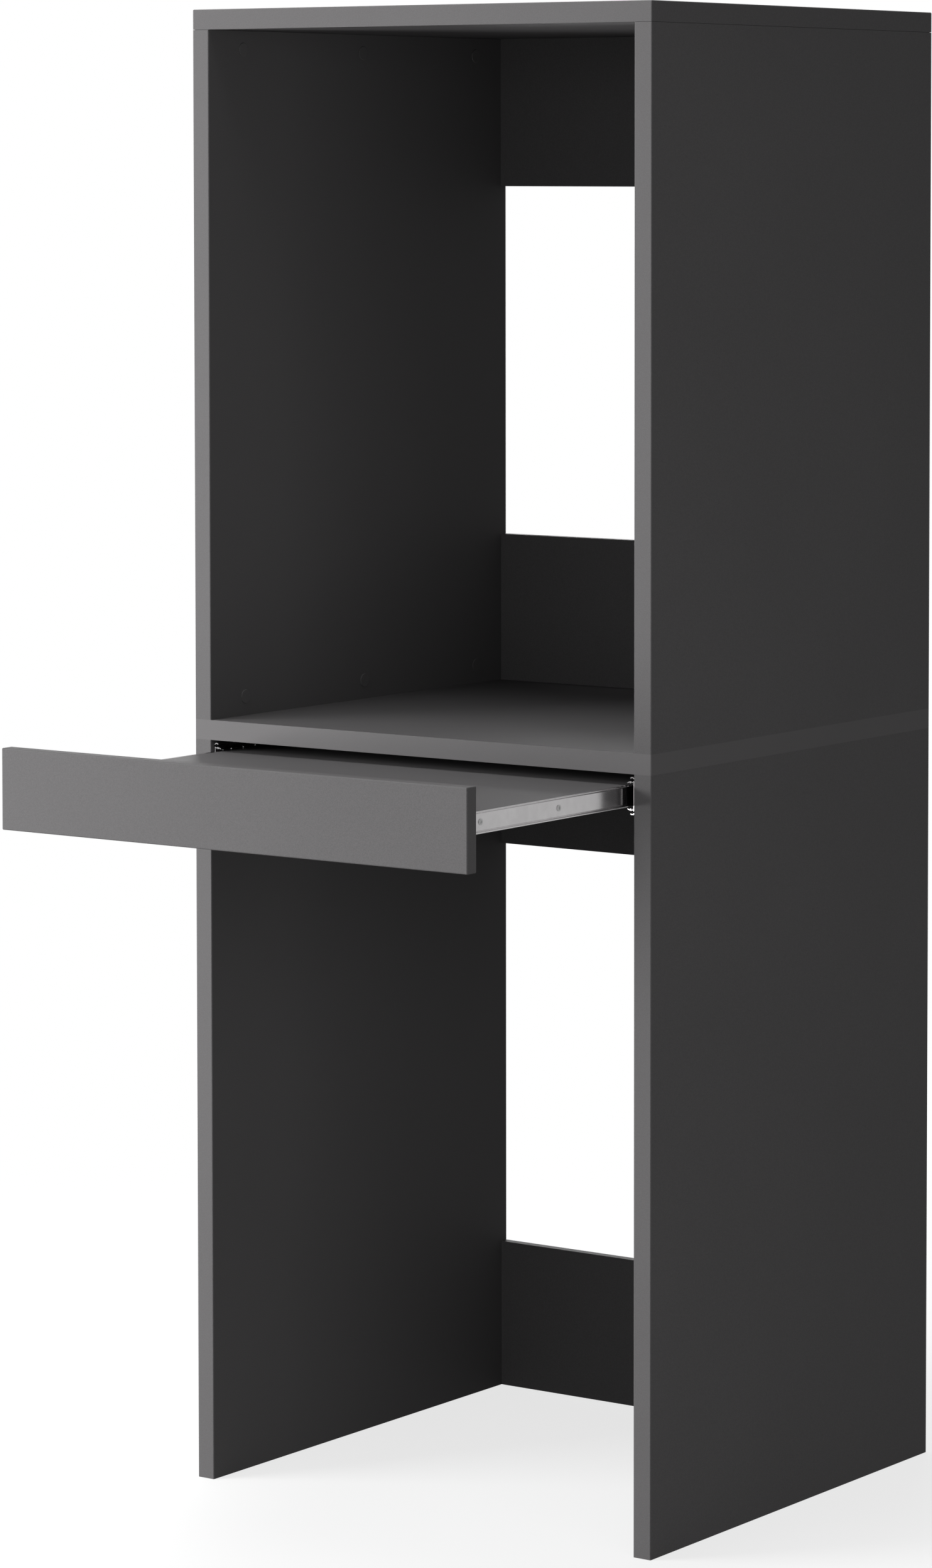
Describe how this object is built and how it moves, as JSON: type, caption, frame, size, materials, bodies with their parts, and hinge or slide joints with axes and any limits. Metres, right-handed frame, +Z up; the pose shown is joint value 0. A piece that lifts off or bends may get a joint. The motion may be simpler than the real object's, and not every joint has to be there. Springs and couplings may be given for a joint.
{
  "type": "washing machine cabinet",
  "caption": "Tall open-fronted board cabinet that stacks a dryer above a washing machine, with open rear windows and a pull-out tray on telescopic ball slides under the middle shelf.",
  "frame": {"origin": "middle of the whole outline at floor level, with the tray drawn out as at rest", "axes": "+Z up, +X to the right as seen from the front, +Y to the back, so the tray pulls out along -Y"},
  "size_m": [0.69, 1.003, 1.85],
  "materials": {
    "carcass_board": "matt graphite melamine on chipboard",
    "rail_board": "matt graphite melamine on chipboard",
    "front_board": "matt graphite melamine on chipboard",
    "slide_steel": "bright zinc-plated sheet steel",
    "ball_steel": "polished bearing steel",
    "zinc": "zinc-plated fitting",
    "cage_plastic": "black moulded plastic",
    "cap_plastic": "graphite moulded plastic",
    "nylon": "natural nylon",
    "stop_rubber": "black rubber",
    "dowel_wood": "plain beech"
  },
  "bodies": {
    "cabinet": {"top_panel": "carcass_board", "upper_left_side": "carcass_board", "upper_right_side": "carcass_board", "middle_shelf": "carcass_board", "lower_left_side": "carcass_board", "lower_right_side": "carcass_board", "upper_top_rail": "rail_board", "upper_bottom_rail": "rail_board", "lower_top_rail": "rail_board", "lower_bottom_rail": "rail_board", "top_bolts": "zinc", "top_cams": "zinc", "top_cam_caps": "cap_plastic", "top_dowels": "dowel_wood", "shelf_bolts": "zinc", "shelf_bolt_inserts": "nylon", "shelf_cams": "zinc", "shelf_cam_caps": "cap_plastic", "shelf_upper_dowels": "dowel_wood", "shelf_lower_dowels": "dowel_wood", "rail_bolts": "zinc", "rail_cams": "zinc", "rail_dowels": "dowel_wood", "slide_outer_left": "slide_steel", "rear_stop_left": "stop_rubber", "cabinet_screws_left": "zinc", "slide_outer_right": "slide_steel", "rear_stop_right": "stop_rubber", "cabinet_screws_right": "zinc"},
    "left_middle": {"slide_middle_left": "slide_steel"},
    "right_middle": {"slide_middle_right": "slide_steel"},
    "tray": {"tray_front": "front_board", "tray_board": "carcass_board", "tray_front_bolts": "zinc", "tray_front_cams": "zinc", "tray_front_dowels": "dowel_wood", "slide_inner_left": "slide_steel", "slide_inner_right": "slide_steel", "tray_screws_left": "zinc", "tray_screws_right": "zinc"},
    "left_outer_cage": {"outer_cage_left": "cage_plastic", "outer_balls_left": "ball_steel"},
    "right_outer_cage": {"outer_cage_right": "cage_plastic", "outer_balls_right": "ball_steel"},
    "left_inner_cage": {"inner_cage_left": "cage_plastic", "inner_balls_left": "ball_steel"},
    "right_inner_cage": {"inner_cage_right": "cage_plastic", "inner_balls_right": "ball_steel"}
  },
  "joints": [
    {"name": "left_middle_slide", "type": "slide", "parent": "cabinet", "child": "left_middle", "axis": [0, -1, 0], "range_m": [0, 0.15]},
    {"name": "tray_slide", "type": "slide", "parent": "left_middle", "child": "tray", "axis": [0, -1, 0], "range_m": [-0.348, 0]},
    {"name": "right_middle_slide", "type": "slide", "parent": "cabinet", "child": "right_middle", "axis": [0, -1, 0], "range_m": [0, 0.15]},
    {"name": "left_outer_cage_slide", "type": "slide", "parent": "cabinet", "child": "left_outer_cage", "axis": [0, -1, 0], "range_m": [0, 0.075]},
    {"name": "right_outer_cage_slide", "type": "slide", "parent": "cabinet", "child": "right_outer_cage", "axis": [0, -1, 0], "range_m": [0, 0.075]},
    {"name": "left_inner_cage_slide", "type": "slide", "parent": "left_middle", "child": "left_inner_cage", "axis": [0, -1, 0], "range_m": [-0.174, 0]},
    {"name": "right_inner_cage_slide", "type": "slide", "parent": "right_middle", "child": "right_inner_cage", "axis": [0, -1, 0], "range_m": [-0.174, 0]}
  ],
  "couplings": [
    {"joint": "right_middle_slide", "follows": "left_middle_slide", "ratio": 1},
    {"joint": "left_outer_cage_slide", "follows": "left_middle_slide", "ratio": 0.5},
    {"joint": "right_outer_cage_slide", "follows": "left_middle_slide", "ratio": 0.5},
    {"joint": "left_inner_cage_slide", "follows": "tray_slide", "ratio": 0.5},
    {"joint": "right_inner_cage_slide", "follows": "tray_slide", "ratio": 0.5}
  ]
}
